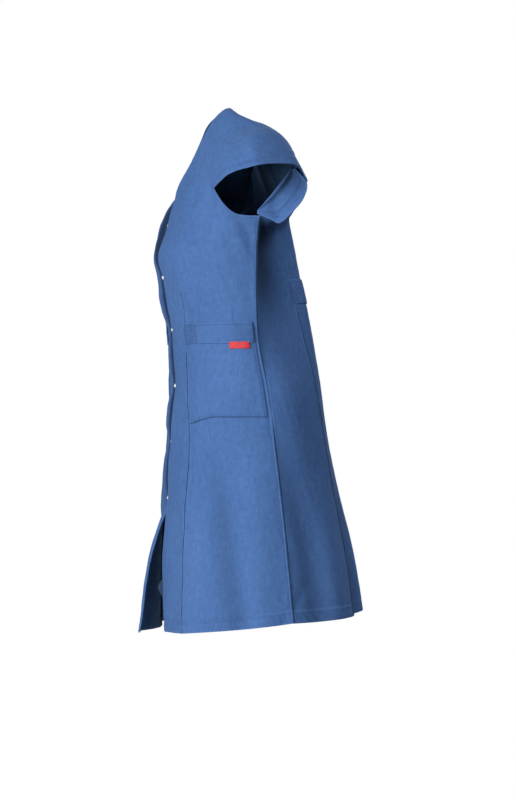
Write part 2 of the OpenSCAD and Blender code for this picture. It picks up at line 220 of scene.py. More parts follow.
# ---------------------------------------------------------------- how the cloth hangs
def waves(p, seed, length, count=7):
    """A smooth random swell over space, about -1 to 1, with waves of about the given length in mm."""
    rng = np.random.default_rng(seed)
    total = 0
    for _ in range(count):
        d = unit(rng.normal(size=3) * (1, 1, 0.55))
        total = total + np.sin(p @ (d * 2 * math.pi / length * rng.uniform(0.7, 1.4)) + rng.uniform(0, 6.28))
    return total / math.sqrt(count / 2) * 0.6


def skirt_folds(p, a, side):
    """Folds that open towards the hem, in mm out from the skirt."""
    z, d = p[..., 2], 0
    for centre, lean, width, height in ((30, 5, 8, 6), (51, -13, 9, -9.7), (72, 4, 10, 6.5),
                                        (104, -9, 9, -10.6),
                                        (121, 5, 9, 8.3), (150, -6, 9, -11.5), (166, 4, 8, 9.2)):
        at_a = centre + lean * side * (z + 900) / 300
        start = -690 if height < 0 else -760
        d = d + height * bump(a, at_a, width) * ease(start + 60, start - 200,
                                                     z) * (0.65 + 0.35 * ease(-600, -1020, z))
    return d


STRIP_OUT = ((168, 0), (173, 14), (190, 21), (215, 20), (240, 17), (270, 9), (305, 2), (350, 5), (397, 7),
             (440, 3),
             (458, 1), (521, 3), (563, 4), (600, 3), (637, 4), (692, 3), (760, 5), (810, 3))


def hang(p, a, v, side):
    """How far the body cloth stands out from its pattern surface, in mm, from its folds."""
    z = p[..., 2]
    top = ease(0, 0.35, v)
    q = p * (side, 1, 1)
    d = 2.4 * waves(q, 11, 190) * top + 0.8 * waves(q, 31, 70) * top + 0.28 * waves(q, 47, 26) * top
    # the hollow behind the side seam, under the arm, which the half belt pulls in
    depth = ease(-228, -256, z) * (1 - ease(-380, -600, z))
    d = d - 36 * depth * np.clip(1 - ((a - 118) / 28) ** 2, 0, 1)
    d = d + skirt_folds(p, a, side)
    # small strains near the hem corners and the side seam's foot
    d = d - 2.2 * bump(a - 95 - (z + 1010) * 0.235, 0, 3.2) * ease(-960, -1000, z)
    d = d - 1.6 * bump(a - 15 + (z + 1020) * -0.13, 0, 2.6) * ease(-970, -1005, z)
    # drag lines from the armhole
    d = d + 2.4 * np.sin((a * 3.1 + z * 0.6) * 0.11) * bump(z, -275, 48) * bump(a, 80, 17)
    d = d * (1 - 0.75 * bump(a, 90, 3))
    if side < 0:   # the right front stands out past the lapped edge
        d = d + np.interp(-z, *zip(*STRIP_OUT)) * ease(12, 18.5, a) * (1 - ease(20, 52, a)) * ease(-860,
                -815, z)
    return d


def placket_swell(p, a):
    """The lapped edge stands out a little between the studs."""
    z = p[..., 2]
    near = np.min([np.abs(z - s) for s in STUD_Z], axis=0)
    return 2.2 * ease(6, 45, near) * (1 - ease(EDGE_A, 12, a)) * ease(-180, -240, z) * ease(-860, -820, z)


def strip_swell(p, a):
    """The strip of the right front that shows beside the lap bellies out between the studs."""
    z = p[..., 2]
    near = np.min([np.abs(z - s) for s in STUD_Z], axis=0)
    return (1.0 + 4.6 * ease(4, 42, near)) * bump(a, 14.5, 4.2) * ease(-190, -215, z) * ease(-860, -815, z)


def shoulder_hang(p, s, t):
    inside = ease(0, 0.12, s) * ease(1, 0.88, s) * ease(0, 0.1, t)
    d = 1.6 * waves(p, 5, 130) * inside + 0.5 * waves(p, 6, 45) * inside
    d = d - 7 * bump(s, 0.56, 0.13) * bump(t, 0.43, 0.16)
    d = d - 11 * bump(s, 0.82, 0.17) * bump(t, 0.15, 0.12) * ease(0, 0.06, t) * ease(1, 0.93, s)
    d = d + 3.5 * bump(s, 0.52, 0.16) * bump(t, 0.78, 0.16)
    d = d - 2.5 * bump(s - 0.25 - 0.15 * t, 0, 0.06) * ease(0.1, 0.4, t) * ease(1, 0.8, t)
    return d


# ---------------------------------------------------------------- cloth meshes
def spread(length, ends=(1, 1), step=6.0):
    """Fractions 0 to 1 along a length in mm: close together next to a sewn end, then even steps."""
    near = [0, 0.7, 1.5, 2.4, 3.6, 5.2, 7.2, 9.0, 9.9, 10.8, 12.5, 15.5]
    lo = near if ends[0] else [0]
    hi = near if ends[1] else [0]
    n = max(2, int(round((length - lo[-1] - hi[-1]) / step)))
    mid = np.linspace(lo[-1], length - hi[-1], n + 1)[1:-1]
    return np.concatenate([lo, mid, (length - np.array(hi))[::-1]]) / length


def arc(grid, axis):
    """Running length along a grid's rows (axis 1) or columns (axis 0)."""
    d = np.linalg.norm(np.diff(grid, axis=axis), axis=-1)
    zero = np.zeros((grid.shape[0], 1)) if axis == 1 else np.zeros((1, grid.shape[1]))
    return np.concatenate([zero, np.cumsum(d, axis=axis)], axis=axis)


def relief(s, kind, p):
    """Height in mm of the cloth at distance s from an edge, and its tone: + pale worn edges, partly a painted
    highlight on the ridges, - painted shade in the stitch grooves and seam lines.
    """
    pucker = 0.3 * waves(p, 77, 17) * bump(s, 3, 9)
    if kind == "over":      # turned edge on top, two rows of stitching
        h = 0.8 * ease(0, 1.6, s) * (1 - ease(9.2, 11, s)) - 0.1 * bump(s, 0, 0.9)
        h = h - 0.3 * bump(s, 2.4, 0.8) - 0.3 * bump(s, 7.2, 0.8) + pucker
        wear_and_painted_light = 0.9 * bump(s, 1.6, 1.0) + 0.35 * bump(s, 9.3, 1.0) - 0.15 * bump(s, 0, 0.9)
    elif kind == "under":   # runs in under its neighbour
        h = -0.1 * bump(s, 0, 1.0) + pucker
        wear_and_painted_light = -0.15 * bump(s, 0, 1.1)
    elif kind == "hem":     # turned up and stitched once
        ridge = np.sin(p @ np.array([0.42, 0.42, 0.26])) * (1 - ease(14, 19, s)) * ease(0, 6, s)
        h = -0.5 * bump(s, 20, 1.3) + 0.35 * (1 - ease(18.5, 20, s)) + 0.22 * ridge - 0.5 * bump(s, 0, 0.8)
        wear_and_painted_light = 0.8 * bump(s, 0, 1.4) - 0.5 * bump(s, 20, 1.2) + 0.2 * ridge
    elif kind == "edge":    # faced edge with one row near it
        h = -0.35 * bump(s, 5.2, 1.0) - 0.6 * bump(s, 0, 0.9) + 0.5 * pucker
        wear_and_painted_light = 0.8 * bump(s, 0, 1.2) - 0.3 * bump(s, 5.2, 1.0)
    else:                   # carries on into its neighbour
        return 0 * s, 0 * s
    return h, wear_and_painted_light


MATERIALS = {}


def add_mesh(name, verts, faces, uvs=None, wear_and_painted_light=None, material=None, smooth=True):
    """A mesh object from points in mm; uvs in mm for each point."""
    mesh = bpy.data.meshes.new(name)
    mesh.from_pydata((np.asarray(verts) * MM).tolist(), [], faces)
    if uvs is not None:
        layer = mesh.uv_layers.new(name="UVMap")
        loops = np.zeros(len(mesh.loops), np.int32)
        mesh.loops.foreach_get("vertex_index", loops)
        layer.data.foreach_set("uv", (np.asarray(uvs)[loops] * MM).astype(np.float32).ravel())
    # a per-point tone for worn edges, painted highlights and painted shade
    values = np.zeros(len(verts), np.float32) if wear_and_painted_light is None else np.asarray(wear_and_painted_light, np.float32).ravel()
    mesh.attributes.new("wear_and_painted_light", "FLOAT", "POINT").data.foreach_set("value", values)
    if smooth:
        mesh.polygons.foreach_set("use_smooth", [True] * len(mesh.polygons))
    mesh.validate()
    mesh.update()
    obj = bpy.data.objects.new(name, mesh)
    bpy.context.scene.collection.objects.link(obj)
    if material:
        obj.data.materials.append(MATERIALS[material])
    return obj


def grid_normal(grid, smooth=0):
    gu = np.gradient(grid, axis=1)
    gv = np.gradient(grid, axis=0)
    n = unit(np.cross(gv, gu))
    for _ in range(smooth):
        wide = np.pad(n, ((1, 1), (1, 1), (0, 0)), mode="edge")
        n = unit(n + wide[:-2, 1:-1] + wide[2:, 1:-1] + wide[1:-1, :-2] + wide[1:-1, 2:])
    return n


def thin(grid, gap=4.0):
    """The rows and columns of a grid that are at least gap mm apart, with its first and last ones."""
    for axis in (0, 1):
        run = arc(grid, axis).mean(axis=1 - axis)
        keep = [0]
        for i in range(1, len(run) - 1):
            if run[i] - run[keep[-1]] >= gap and run[-1] - run[i] >= gap / 2:
                keep.append(i)
        grid = np.take(grid, keep + [len(run) - 1], axis=axis)
    return grid


def cloth(name, grid, material, thick=CLOTH_T, wear_and_painted_light=None, flip=False, uv0=(0, 0)):
    """A closed cloth shell: grid is its face side, in mm, rows going down. flip for mirrored grids."""
    n, m = grid.shape[:2]
    out = grid_normal(grid, 4) * (-1 if flip else 1)
    thick = np.broadcast_to(np.asarray(thick, float), (n, m))
    inner = grid - out * thick[..., None]
    verts = np.concatenate([grid.reshape(-1, 3), inner.reshape(-1, 3)])
    idx = np.arange(n * m).reshape(n, m)
    a, b, c, d = idx[:-1, :-1], idx[1:, :-1], idx[1:, 1:], idx[:-1, 1:]
    face_out = np.stack([a, b, c, d], -1).reshape(-1, 4)
    face_in = face_out[:, ::-1] + n * m
    rim = []
    loop = np.concatenate([idx[0, :-1], idx[:-1, -1], idx[-1, :0:-1], idx[:0:-1, 0]])
    nxt = np.roll(loop, -1)
    rim = np.stack([loop, nxt, nxt + n * m, loop + n * m], -1)
    faces = np.concatenate([face_out, face_in, rim])
    if flip:
        faces = faces[:, ::-1]
    u, v = arc(grid, 1), arc(grid, 0)
    u = u - u[:, m // 2:m // 2 + 1]
    uv = np.stack([u + uv0[0], v + uv0[1]], -1).reshape(-1, 2)
    wear_and_light = np.zeros((n, m)) if wear_and_painted_light is None else wear_and_painted_light
    obj = add_mesh(name, verts, faces.tolist(), np.concatenate([uv, uv]),
                   np.concatenate([wear_and_light.ravel(), wear_and_light.ravel()]), material)
    if material == "twill":   # the inner faces get a much darker twill, painted shade for the inside of the coat
        obj.data.materials.append(MATERIALS["twill_inner"])
        side = np.zeros(len(obj.data.polygons), np.int32)
        side[len(face_out):len(face_out) + len(face_in)] = 1
        obj.data.polygons.foreach_set("material_index", side)
    return obj


class Panel:
    """A body panel: its grid on the body surface, with folds and seams, on one side or across the back."""

    def __init__(self, a0, a1, edges, side=1, lap=False, v0=0.0, v1=2.0, step=6.0, row_step=7.0):
        self.side, self.lap, self.edges = side, lap, edges
        mid = body(np.array([0.5 * (a0(1.5) + a1(1.5))]), np.array([1.5]))[0]
        width = abs(a1(1.5) - a0(1.5)) * math.pi / 180 * 215
        self.k = spread(width, (edges[0] != "on", edges[1] != "on"), step)
        rows = spread(700, (edges[2] != "on", 0), row_step)
        upper = v0 + (1 - v0) * spread(170, (edges[2] != "on", 0), row_step)
        near_hem = np.array([24, 21.5, 20, 18.5, 16, 11, 6, 3, 1.4, 0.6, 0])
        lower = np.concatenate([np.linspace(0, 760, int(760 / row_step))[1:], 784 - near_hem]) / 784
        self.v = np.concatenate([upper, 1 + lower]) if v1 >= 2 else upper
        self.a = a0(self.v)[:, None] + (a1(self.v) - a0(self.v))[:, None] * self.k[None, :]
        self.vv = np.broadcast_to(self.v[:, None], self.a.shape)
        self.make()

    def make(self):
        base = body(self.a, self.vv)
        normal = body_normal(self.a, self.vv)
        across, down = arc(base, 1), arc(base, 0)
        d = hang(base, self.a, self.vv, self.side)
        if not self.lap:
            d = d + placket_swell(base, self.a)
        wear_and_painted_light = 0
        flush = 1 - 0.93 * ease(-400, -350, base[..., 2])
        for s, kind, seam in ((across, self.edges[0], self.a[-1, 0] < 60),
                              (across[:, -1:] - across, self.edges[1], self.a[-1, -1] < 60),
                              (down, self.edges[2], False), (down[-1:] - down, self.edges[3], False)):
            h, w = relief(s, kind, base)
            k = flush if seam and kind != "edge" else 1
            if down is s:
                k = 1 - 0.75 * ease(18, 22, self.a) * ease(164, 160,
                                                           self.a) * (1 - ease(50, 57, self.a)
                                                                   * ease(134, 128, self.a))
            d, wear_and_painted_light = d + h * k, wear_and_painted_light + w * k
        # painted shade behind the side seam under the arm, and fold ridges painted lighter and valleys darker
        # as painted light and shade
        underarm_painted_shade = ease(90.2, 93, self.a) * (1 - ease(102, 140, self.a)) * ease(-236, -262,
                base[..., 2]) * (1 - ease(-330, -470, base[..., 2]))
        wear_and_painted_light = wear_and_painted_light - 1.5 * underarm_painted_shade + 0.05 * skirt_folds(base, self.a, self.side)
        if self.lap:
            d = d + lap_in(self.a) + strip_swell(base, self.a)
            # painted shadow in the recess beside the lapped edge, and the rest of the right front painted a
            # little darker as painted shade
            shift = 3.8 * ease(-330, -235, base[..., 2])
            wear_and_painted_light = wear_and_painted_light - 1.7 * ease(5, 8, self.a) * ease(14.2, 11.6, self.a - shift) * ease(-840, -800,
                    base[..., 2])
            wear_and_painted_light = wear_and_painted_light - 0.35 * ease(11, 14, self.a)
        self.wear_and_painted_light = wear_and_painted_light
        grid = base + normal * d[..., None]
        if self.side < 0:
            if self.lap:
                grid = flare(grid, self.a)
            grid = mirror(grid)
        self.grid, self.down = grid, down

    def thickness(self):
        to_hem = self.down[-1:] - self.down
        return CLOTH_T + 1.1 * (1 - ease(19, 21, to_hem))


def at(value):
    return lambda v: np.full(np.shape(v), float(value))


def size_of(grid):
    """Flat width, length and area of a grid in metres."""
    w = arc(grid, 1)[:, -1].max() * MM
    l = arc(grid, 0)[-1].max() * MM
    d0, d1 = grid[1:, 1:] - grid[:-1, :-1], grid[1:, :-1] - grid[:-1, 1:]
    area = np.linalg.norm(np.cross(d0, d1), axis=-1).sum() / 2 * MM * MM
    return w, l, area


SHEETS = []


def sew(obj, grid, nodes, body_name, held="hung", rests=()):
    """Hides the nodes a cloth piece replaces, hangs it on its body, and lists its flat width, length and area
    with how it is held and what it rests on.
    """
    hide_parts(*nodes)
    if body_name:
        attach(obj, body_name)
    w, l, area = size_of(grid)
    SHEETS.append((obj, w, l, area, held, rests))
    return obj


# ---------------------------------------------------------------- materials
def node_tools(owner):
    """Empties the node tree of a material or a world, and gives two calls: make a node, link two sockets."""
    owner.use_nodes = True
    tree = owner.node_tree
    tree.nodes.clear()

    def make(kind, **values):
        n = tree.nodes.new(kind)
        for key, value in values.items():
            if hasattr(n, key):
                setattr(n, key, value)
            else:
                n.inputs[key.replace("_", " ")].default_value = value
        return n
    return make, tree.links.new


def twill(name, light, dark, roughness=0.85, sheen=0.07, weave=444.0):
    """Dyed cotton twill: fine diagonal ribs, slubs along the warp, mottled dye; a per-point tone lightens
    worn edges and paints highlights where it is above zero, and paints shade where it is below zero.
    """
    mat = bpy.data.materials.new(name)
    make, link = node_tools(mat)
    uv = make("ShaderNodeTexCoord")
    ribs = make("ShaderNodeTexWave", wave_type="BANDS", bands_direction="DIAGONAL", Scale=weave,
                Distortion=1.5, Detail=1.0, Detail_Scale=2.0)
    link(uv.outputs["UV"], ribs.inputs["Vector"])
    warp = make("ShaderNodeMapping")
    warp.inputs["Scale"].default_value = (420, 30, 1)
    link(uv.outputs["UV"], warp.inputs["Vector"])
    slub = make("ShaderNodeTexNoise", Scale=1.0, Detail=3.0, Roughness=0.6)
    link(warp.outputs["Vector"], slub.inputs["Vector"])
    cloud = make("ShaderNodeTexNoise", Scale=90.0, Detail=8.0, Roughness=0.75)
    link(uv.outputs["Object"], cloud.inputs["Vector"])
    dye = make("ShaderNodeTexNoise", Scale=5.0, Detail=3.0, Roughness=0.5)
    link(uv.outputs["Object"], dye.inputs["Vector"])

    def math_node(op, a, b):
        n = make("ShaderNodeMath", operation=op)
        for socket, value in zip(n.inputs, (a, b)):
            if isinstance(value, (int, float)):
                socket.default_value = value
            else:
                link(value, socket)
        return n.outputs[0]

    shade = math_node("ADD", math_node("MULTIPLY", ribs.outputs["Fac"], 0.20),
                      math_node("MULTIPLY", slub.outputs["Fac"], 0.95))
    shade = math_node("ADD", shade, math_node("MULTIPLY", cloud.outputs["Fac"], 1.45))
    shade = math_node("ADD", shade, math_node("MULTIPLY", dye.outputs["Fac"], 0.70))
    shade = math_node("SUBTRACT", shade, 1.15)
    mix = make("ShaderNodeMix", data_type="RGBA")
    link(shade, mix.inputs["Factor"])
    mix.inputs["A"].default_value, mix.inputs["B"].default_value = (*dark, 1), (*light, 1)
    # the per-point tone: above zero it mixes towards a pale blue for worn edges and painted highlights, below
    # zero towards a near-black blue as painted shade
    wear_and_light = make("ShaderNodeAttribute", attribute_name="wear_and_painted_light")
    lighten_for_wear_and_highlight = math_node("MULTIPLY", math_node("MAXIMUM", wear_and_light.outputs["Fac"], 0.0), 0.20)
    lift = make("ShaderNodeMix", data_type="RGBA")
    link(lighten_for_wear_and_highlight, lift.inputs["Factor"])
    link(mix.outputs["Result"], lift.inputs["A"])
    lift.inputs["B"].default_value = (*[min(1, 1.7 * c + 0.05) for c in light], 1)
    painted_shade_and_dark_patch = math_node("MULTIPLY", math_node("MINIMUM", wear_and_light.outputs["Fac"], 0.0), -0.62)
    drop = make("ShaderNodeMix", data_type="RGBA")
    link(painted_shade_and_dark_patch, drop.inputs["Factor"])
    link(lift.outputs["Result"], drop.inputs["A"])
    drop.inputs["B"].default_value = (*[0.25 * c for c in dark], 1)
    shader = make("ShaderNodeBsdfPrincipled")
    shader.inputs["Roughness"].default_value = roughness
    shader.inputs["Specular IOR Level"].default_value = 0.2
    shader.inputs["Sheen Weight"].default_value = sheen
    shader.inputs["Sheen Roughness"].default_value = 0.45
    shader.inputs["Sheen Tint"].default_value = (0.55, 0.72, 1.0, 1)
    link(drop.outputs["Result"], shader.inputs["Base Color"])
    bump_node = make("ShaderNodeBump", Strength=0.35, Distance=0.00022)
    link(math_node("ADD", ribs.outputs["Fac"], math_node("MULTIPLY", slub.outputs["Fac"], 0.8)),
         bump_node.inputs["Height"])
    link(bump_node.outputs["Normal"], shader.inputs["Normal"])
    out = make("ShaderNodeOutputMaterial")
    link(shader.outputs["BSDF"], out.inputs["Surface"])
    MATERIALS[name] = mat
    return mat


BLUE_LIGHT, BLUE_DARK = (0.078, 0.172, 0.410), (0.040, 0.100, 0.262)
twill("twill", BLUE_LIGHT, BLUE_DARK)
# a much darker twill for inner faces, facings and seam allowances: painted shade for the inside
twill("twill_inner", (0.026, 0.068, 0.155), (0.010, 0.034, 0.082), sheen=0.1)
twill("tape", (0.080, 0.170, 0.430), (0.050, 0.118, 0.320), weave=300.0)
twill("thread", (0.115, 0.235, 0.540), (0.075, 0.165, 0.410), roughness=0.6, sheen=0.1, weave=900.0)
twill("tag", (0.70, 0.050, 0.055), (0.50, 0.026, 0.032), roughness=0.45, sheen=0.1, weave=700.0)
twill("label", (0.86, 0.86, 0.83), (0.74, 0.75, 0.73), roughness=0.6, sheen=0.05, weave=600.0)
twill("hook_loop", (0.050, 0.100, 0.250), (0.020, 0.045, 0.120), roughness=0.95, sheen=0.5, weave=1500.0)


def steel(name):
    """Nickel-plated pressed brass: light scuffs."""
    mat = bpy.data.materials.new(name)
    make, link = node_tools(mat)
    place = make("ShaderNodeTexCoord")
    scuff = make("ShaderNodeTexNoise", Scale=900.0, Detail=4.0)
    link(place.outputs["Object"], scuff.inputs["Vector"])
    ramp = make("ShaderNodeMapRange", To_Min=0.16, To_Max=0.38)
    link(scuff.outputs["Fac"], ramp.inputs["Value"])
    tint = make("ShaderNodeMix", data_type="RGBA", A=(0.66, 0.66, 0.65, 1), B=(0.92, 0.92, 0.90, 1))
    link(scuff.outputs["Fac"], tint.inputs["Factor"])
    shader = make("ShaderNodeBsdfPrincipled", Metallic=0.45)
    link(tint.outputs["Result"], shader.inputs["Base Color"])
    link(ramp.outputs["Result"], shader.inputs["Roughness"])
    out = make("ShaderNodeOutputMaterial")
    link(shader.outputs["BSDF"], out.inputs["Surface"])
    MATERIALS[name] = mat


steel("stud_steel")

# ---------------------------------------------------------------- stitches
STITCHES = {}


def line_down_of(grid, field, s, from_end):
    """A field on a grid, read down the line at distance s mm from its first column, or from its last."""
    along = arc(grid, 1)
    along = along[:, -1:] - along if from_end else along
    order = slice(None, None, -1) if from_end else slice(None)
    return np.array([[np.interp(s, along[i, order], field[i, order, k]) for k in range(3)]
                     for i in range(grid.shape[0])])


def line_down(grid, s, from_end=False):
    """The line that runs down a grid at distance s mm from its first column, or from its last."""
    return line_down_of(grid, grid, s, from_end)


def stitch(group, path, outward, pitch=3.1, length=2.5, r=0.33, lift=0.12):
    """A row of stitches along a path, in mm; outward gives the cloth's face direction at a point of it."""
    path = np.asarray(path, float)
    step = np.linalg.norm(np.diff(path, axis=0), axis=1)
    run = np.concatenate([[0], np.cumsum(step)])
    if run[-1] < pitch * 2:
        return
    centres = np.arange(pitch, run[-1] - pitch / 2, pitch)
    read = lambda s: np.stack([np.interp(s, run, path[:, k]) for k in range(3)], -1)
    c = read(centres)
    d = unit(read(centres + 1) - read(centres - 1))
    n = unit(np.stack([np.interp(centres, run, outward[:, k]) for k in range(3)], -1))
    n = unit(n - d * (n * d).sum(-1, keepdims=True))
    b = np.cross(d, n)
    STITCHES.setdefault(group, []).append((c + n * lift, d * length / 2, n * r, b * r))


def panel_rows(group, grid, flip, specs):
    """Rows of stitching on a grid: (edge, distance) with edge left, right, top or bottom."""
    normal = grid_normal(grid) * (-1 if flip else 1)
    for edge, s in specs:
        if edge in ("left", "right"):
            path = line_down(grid, s, edge == "right")
            out = line_down_of(grid, normal, s, edge == "right")
        else:
            g, nn = np.swapaxes(grid, 0, 1), np.swapaxes(normal, 0, 1)
            path = line_down(g, s, edge == "bottom")
            out = line_down_of(g, nn, s, edge == "bottom")
        stitch(group, path, out)


RING = np.array([(1, 0), (0, 1), (-1, 0), (0, -1)], float)


def make_stitches():
    """Each group of stitches as one mesh of small rounded lengths of thread."""
    made = {}
    for group, rows in STITCHES.items():
        c, d, n, b = (np.concatenate([r[k] for r in rows]) for k in range(4))
        rings = []
        for along, fat, rise in ((-1.0, 0.35, -0.9), (-0.55, 1.0, 0.0), (0.55, 1.0, 0.0), (1.0, 0.35, -0.9)):
            for x, y in RING:
                rings.append(c + d * along + n * (y * fat + rise) + b * x * fat)
        verts = np.stack(rings, 1)
        count = len(c)
        faces = []
        for k in range(3):
            for j in range(4):
                p, q = 4 * k + j, 4 * k + (j + 1) % 4
                faces.append((p, q, q + 4, p + 4))
        faces += [(3, 2, 1, 0), (12, 13, 14, 15)]
        base = (np.arange(count) * 16)[:, None]
        all_faces = np.concatenate([base + np.array(f)[None, :] for f in faces])
        flat = verts.reshape(-1, 3)
        made[group] = add_mesh("stitching_" + group, flat, all_faces.tolist(), flat[:, [0, 2]], None,
                               "thread")
    return made


# ---------------------------------------------------------------- body panels
princess = princess_a
left_front = Panel(at(EDGE_A), princess, ("edge", "under", "edge", "hem"), step=4.5)
left_side_front = Panel(princess, at(SIDE_A), ("over", "under", "edge", "hem"), step=5)
left_side_back = Panel(at(SIDE_A), at(BACK_SEAM_A), ("over", "under", "edge", "hem"), step=5)
back_left = Panel(at(BACK_SEAM_A), at(180), ("over", "on", "edge", "hem"), step=6)
back_right = Panel(at(BACK_SEAM_A), at(180), ("over", "on", "edge", "hem"), side=-1, step=6)
right_side_back = Panel(at(SIDE_A), at(BACK_SEAM_A), ("over", "under", "edge", "hem"), side=-1, step=7)
right_side_front = Panel(princess, at(SIDE_A), ("over", "under", "edge", "hem"), side=-1, step=7)
right_front = Panel(at(EDGE_A - 1), princess, ("edge", "under", "edge", "hem"), side=-1, lap=True, step=5)


def turn(obj):
    """Bakes a left-front piece's placement into its mesh, with no parent."""
    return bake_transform(obj)


def body_cloth(name, panel, nodes, body_name="coat"):
    obj = cloth(name, panel.grid, "twill", panel.thickness(), panel.wear_and_painted_light, flip=panel.side < 0)
    return sew(obj, panel.grid, nodes, body_name)


obj = body_cloth("left_front_cloth", left_front, ("left_front_placket", "left_front_panel"), None)
turn(obj)
body_cloth("left_side_front_cloth", left_side_front, ("left_side_front_panel",))
body_cloth("left_side_back_cloth", left_side_back, ("left_side_back_panel",))
body_cloth("right_side_back_cloth", right_side_back, ("right_side_back_panel",))
body_cloth("right_side_front_cloth", right_side_front, ("right_side_front_panel",))
body_cloth("right_front_cloth", right_front, ("right_front_panel",))
back_grid = np.concatenate([back_left.grid, back_right.grid[:, -2::-1]], axis=1)
back_wear_and_light = np.concatenate([back_left.wear_and_painted_light, back_right.wear_and_painted_light[:, -2::-1]], axis=1)
back_thick = np.concatenate([back_left.thickness(), back_right.thickness()[:, -2::-1]], axis=1)
sew(cloth("back_cloth", back_grid, "twill", back_thick, back_wear_and_light), back_grid, ("back_panel",), "coat")

for panel, specs in ((left_side_front, (("left", 2.4), ("left", 7.2))),
                     (left_side_back, (("left", 2.4), ("left", 7.2))),
                     (back_left, (("left", 2.4), ("left", 7.2))), (back_right,
                             (("left", 2.4), ("left", 7.2))),
                     (right_side_back, (("left", 2.4), ("left", 7.2))), (right_side_front,
                             (("left", 2.4), ("left", 7.2))),
                     (right_front, (("left", 5.2),))):
    panel_rows("coat", panel.grid, panel.side < 0, specs + (("bottom", 20),))
panel_rows("left_front", left_front.grid, False, (("left", 5.2), ("bottom", 20), ("top", 5.2)))
panel_rows("coat", right_front.grid, True, (("top", 5.2),))
for panel in (left_side_front, left_side_back, right_side_back, right_side_front):
    panel_rows("coat", panel.grid, panel.side < 0, (("top", 5.2),))


def lining(name, grid, gap, thick, nodes, flip, body_name="coat", material="twill_inner"):
    """A facing inside a piece of cloth: the same grid, set in by gap mm."""
    grid = thin(grid)
    inside = grid - grid_normal(grid, 3) * (gap * (-1 if flip else 1))
    obj = cloth(name, inside, material, thick, flip=flip)
    return sew(obj, inside, nodes, body_name), inside


def part_of(panel, lo, hi, skip_top=0, skip_hem=0):
    """The columns of a panel between two angles."""
    a = panel.a[len(panel.v) // 2]
    cols = np.where((a >= lo) & (a <= hi))[0]
    rows = slice(skip_top, panel.grid.shape[0] - skip_hem)
    return panel.grid[rows, cols[0]:cols[-1] + 1]


fly_grid = part_of(left_front, EDGE_A + 0.1, 7.6, 14, 4)
curl = bump(fly_grid[..., 2], -1000, 15) * (0.55 + 0.45 * ease(-1022, -980, fly_grid[..., 2])) * (1
        - ease(0, 9, arc(fly_grid, 1)))
fly_grid = fly_grid + curl[..., None] * np.array([-7.0, -12.0, 0])
fly, _ = lining("left_front_fly_cloth", fly_grid, CLOTH_T + 0.5, 0.8,
                ("left_front_fly",), False, None)
turn(fly)
lining("right_front_facing_cloth", part_of(right_front, EDGE_A - 1, 13, 3, 2), CLOTH_T + 0.4, 0.8,
       ("right_front_facing",), True)
neck_rows = back_grid[:22, back_grid.shape[1] // 2 - 14:back_grid.shape[1] // 2 + 15]
lining("back_neck_facing_cloth", neck_rows, CLOTH_T + 0.4, 0.8, ("back_neck_facing",), False)


def ribbon(name, path, normal, half, depth, body_name="coat"):
    """A strip of seam allowance pressed flat behind a seam."""
    d = unit(np.gradient(path, axis=0))
    side = unit(np.cross(d, normal))
    across = np.array([-1, -0.5, 0, 0.5, 1]) * half
    grid = path[:, None] + side[:, None] * across[None, :, None] - (normal * depth)[:, None]
    obj = cloth(name, grid, "twill_inner", 0.7)
    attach(obj, body_name)
    w, l, area = size_of(grid)
    SHEETS.append((obj, w, l, area, "hung", ()))
    return obj


for name, panel in (("left_princess", left_side_front), ("left_side", left_side_back),
                    ("left_back", back_left),
                    ("right_princess", right_side_front), ("right_side", right_side_back), ("right_back",
                            back_right)):
    flip = -1 if panel.side < 0 else 1
    rows = slice(2, -2)
    ribbon(name + "_seam_allowance", panel.grid[rows, 0], (grid_normal(panel.grid) * flip)[rows, 0], 6,
           CLOTH_T + 0.6)

# ---------------------------------------------------------------- cap sleeves
def sleeve_cloth(side):
    s = spread(340, (1, 1), 7)
    t = np.concatenate([spread(215, (1, 0), 7)[:-1] * 0.9,
                        0.9 + 0.1 * (1 - np.array([21, 18, 16.5, 15.5, 14.5, 12, 8, 4, 2, 0.8, 0]) / 21.5)])
    t, s = np.meshgrid(t, s, indexing="ij")
    rim = SLEEVE_RIM if side > 0 else HANGING_RIM
    base = sleeve(s, t, rim)
    across, down = arc(base, 1), arc(base, 0)
    d = shoulder_hang(base, s, t)
    wear_and_painted_light = 0
    for dist, kind, k in ((across, "over", 0.35), (across[:, -1:] - across, "over", 0.35), (down, "edge", 1)):
        h, w = relief(dist, kind, base)
        d, wear_and_painted_light = d + h * k, wear_and_painted_light + w * k
    to_rim = down[-1:] - down
    d = d - 0.5 * bump(to_rim, 15.5, 1.2) + 0.35 * (1 - ease(14, 15.5, to_rim)) - 0.5 * bump(to_rim, 0, 0.8)
    # the rim's edge is painted paler, partly wear and partly a painted highlight, with painted shade in the
    # hem stitch groove
    wear_and_painted_light = wear_and_painted_light + 0.9 * bump(to_rim, 0, 1.5) - 0.5 * bump(to_rim, 15.5, 1.2)
    grid = base + sleeve_normal(s, t, rim) * d[..., None]
    if side < 0:
        grid = mirror(grid)
    name = "left" if side > 0 else "right"
    obj = cloth(name + "_cap_sleeve_cloth", grid, "twill", CLOTH_T + 1.0 * (1 - ease(14, 16, to_rim)), wear_and_painted_light,
                flip=side < 0)
    sew(obj, grid, (name + "_cap_sleeve",), "coat")
    panel_rows("coat", grid, side < 0, (("left", 2.4), ("left", 7.2), ("right", 2.4), ("right", 7.2),
                                        ("bottom", 15.5), ("top", 5.2)))
    lining(name + "_sleeve_facing_cloth", grid[-9:-1, 3:-3], CLOTH_T + 1.4, 0.7, (name + "_sleeve_facing",),
           side < 0)
    normal = grid_normal(grid) * side
    for end, col in (("front", 0), ("back", -1)):
        ribbon(f"{name}_{end}_raglan_allowance", grid[2:-2, col], normal[2:-2, col], 7, CLOTH_T + 0.6)
    return grid


